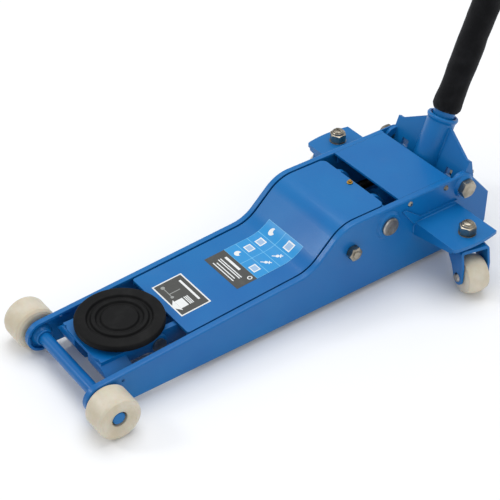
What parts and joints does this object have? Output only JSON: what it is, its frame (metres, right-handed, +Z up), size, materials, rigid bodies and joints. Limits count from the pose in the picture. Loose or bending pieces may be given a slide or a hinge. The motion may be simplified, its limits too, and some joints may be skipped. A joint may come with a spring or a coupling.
{
  "type": "trolley jack",
  "caption": "Low-profile hydraulic trolley jack with a stepped lift arm, levelling saddle with a rubber pad, nylon rollers, swivel casters and a pump handle.",
  "frame": {"origin": "on the floor under the middle of the whole jack, handle included", "axes": "+Z up; -Y towards the saddle end, +Y towards the handle; X along the front axle"},
  "size_m": [0.3804, 1.0398, 1.0871],
  "materials": {
    "blue_paint": "gloss",
    "bare_steel": "satin",
    "zinc_fastener": "bright zinc",
    "brass": "bright",
    "cast_body": "painted casting",
    "nylon_wheel": "satin",
    "black_rubber": "matte",
    "black_foam": "soft foam",
    "dark_steel": "oiled black"
  },
  "bodies": {
    "frame": {"side_plate_left": "blue_paint", "side_plate_right": "blue_paint", "rear_cover": "blue_paint", "frame_screws": "zinc_fastener", "tie_bars": "blue_paint", "front_axle": "blue_paint", "axle_circlips": "dark_steel", "axle_spacers": "blue_paint", "arm_pivot_shaft": "bare_steel", "shaft_spacers": "bare_steel", "link_bolt": "zinc_fastener", "link_sleeves": "bare_steel", "ram_cylinder": "cast_body", "cylinder_gland": "cast_body", "pump_block": "cast_body", "filler_plug": "zinc_fastener", "rear_cross_plate": "blue_paint", "return_springs": "dark_steel", "pump_spring": "dark_steel", "yoke_bolts": "zinc_fastener", "caster_bracket_left": "blue_paint", "caster_bracket_right": "blue_paint", "caster_studs": "zinc_fastener", "caster_bearings": "dark_steel"},
    "front_wheel_left": {"front_wheel_left": "nylon_wheel"},
    "front_wheel_right": {"front_wheel_right": "nylon_wheel"},
    "lift_arm": {"arm_cover": "blue_paint", "grease_nipple": "brass", "arm_cheek_left": "blue_paint", "arm_cheek_right": "blue_paint", "arm_cross_plate": "blue_paint", "arm_pivot_tube": "blue_paint", "heel_pin": "bare_steel"},
    "link": {"link_bar": "blue_paint"},
    "saddle_bracket": {"saddle_bracket": "blue_paint", "saddle_pins": "bare_steel", "link_front_pin": "bare_steel"},
    "saddle": {"saddle_cup": "blue_paint", "saddle_pad": "black_rubber"},
    "ram": {"ram_head": "bare_steel", "ram_rod": "bare_steel", "ram_piston": "bare_steel"},
    "plunger": {"pump_plunger": "bare_steel"},
    "release_valve": {"release_valve": "bare_steel"},
    "yoke": {"handle_yoke": "blue_paint", "roller_pin": "bare_steel", "yoke_bush": "dark_steel"},
    "yoke_roller": {"yoke_roller": "bare_steel"},
    "handle": {"handle_lower_tube": "blue_paint", "handle_upper_tube": "blue_paint", "handle_screw": "zinc_fastener", "foam_sleeve": "black_foam", "handle_grip": "black_rubber", "coupling_rod": "bare_steel"},
    "caster_left": {"caster_fork_left": "blue_paint", "caster_axle_left": "bare_steel"},
    "caster_right": {"caster_fork_right": "blue_paint", "caster_axle_right": "bare_steel"},
    "caster_wheel_left": {"caster_wheel_left": "nylon_wheel"},
    "caster_wheel_right": {"caster_wheel_right": "nylon_wheel"}
  },
  "joints": [
    {"name": "front_wheel_left_spin", "type": "hinge", "parent": "frame", "child": "front_wheel_left", "pos_m": [-0.1065, -0.49, 0.0304], "axis": [1, 0, 0], "continuous": true},
    {"name": "front_wheel_right_spin", "type": "hinge", "parent": "frame", "child": "front_wheel_right", "pos_m": [0.1065, -0.49, 0.0304], "axis": [1, 0, 0], "continuous": true},
    {"name": "lift", "type": "hinge", "parent": "frame", "child": "lift_arm", "pos_m": [0, -0.028, 0.1], "axis": [-1, 0, 0], "range_deg": [0, 78], "deforming": ["return_springs"]},
    {"name": "link_swing", "type": "hinge", "parent": "frame", "child": "link", "pos_m": [0, -0.0905, 0.083], "axis": [-1, 0, 0], "range_deg": [0, 78]},
    {"name": "saddle_level", "type": "hinge", "parent": "lift_arm", "child": "saddle_bracket", "pos_m": [0, -0.384, 0.045], "axis": [-1, 0, 0], "range_deg": [-78, 0]},
    {"name": "saddle_turn", "type": "hinge", "parent": "saddle_bracket", "child": "saddle", "pos_m": [0, -0.4121, 0.06], "axis": [0, 0, 1], "continuous": true},
    {"name": "ram_slide", "type": "slide", "parent": "frame", "child": "ram", "axis": [0, -1, 0], "range_m": [0, 0.05664]},
    {"name": "handle_pump", "type": "hinge", "parent": "frame", "child": "yoke", "pos_m": [0, 0.11, 0.108], "axis": [-1, 0, 0], "range_deg": [-14, 50], "stiffness_Nm_per_rad": 32, "springref_deg": -10.71},
    {"name": "plunger_slide", "type": "slide", "parent": "frame", "child": "plunger", "axis": [0, 0, -1], "range_m": [-0.00558, 0.01994], "deforming": ["pump_spring"]},
    {"name": "roller_spin", "type": "hinge", "parent": "yoke", "child": "yoke_roller", "pos_m": [0, 0.13269, 0.11581], "axis": [1, 0, 0], "continuous": true},
    {"name": "handle_twist", "type": "hinge", "parent": "yoke", "child": "handle", "pos_m": [0, 0.11, 0.108], "axis": [0, 0.3746, 0.9272], "range_deg": [0, 180]},
    {"name": "valve_turn", "type": "hinge", "parent": "frame", "child": "release_valve", "pos_m": [0, 0.11, 0.09], "axis": [0, 0, 1], "range_deg": [0, 180]},
    {"name": "caster_left_swivel", "type": "hinge", "parent": "frame", "child": "caster_left", "pos_m": [-0.1429, 0.062, 0.075], "axis": [0, 0, 1], "continuous": true},
    {"name": "caster_left_spin", "type": "hinge", "parent": "caster_left", "child": "caster_wheel_left", "pos_m": [-0.16223, 0.05771, 0.0278], "axis": [-0.2164, 0.9763, 0], "continuous": true},
    {"name": "caster_right_swivel", "type": "hinge", "parent": "frame", "child": "caster_right", "pos_m": [0.1429, 0.062, 0.075], "axis": [0, 0, 1], "continuous": true},
    {"name": "caster_right_spin", "type": "hinge", "parent": "caster_right", "child": "caster_wheel_right", "pos_m": [0.16223, 0.05771, 0.0278], "axis": [0.2164, 0.9763, 0], "continuous": true}
  ],
  "couplings": [
    {"joint": "link_swing", "follows": "lift", "ratio": 1},
    {"joint": "saddle_level", "follows": "lift", "ratio": -1},
    {"joint": "ram_slide", "follows": "lift", "m_per_rad": 0.041605},
    {"joint": "plunger_slide", "follows": "handle_pump", "m_per_rad": 0.022846},
    {"joint": "valve_turn", "follows": "handle_twist", "ratio": 1}
  ]
}
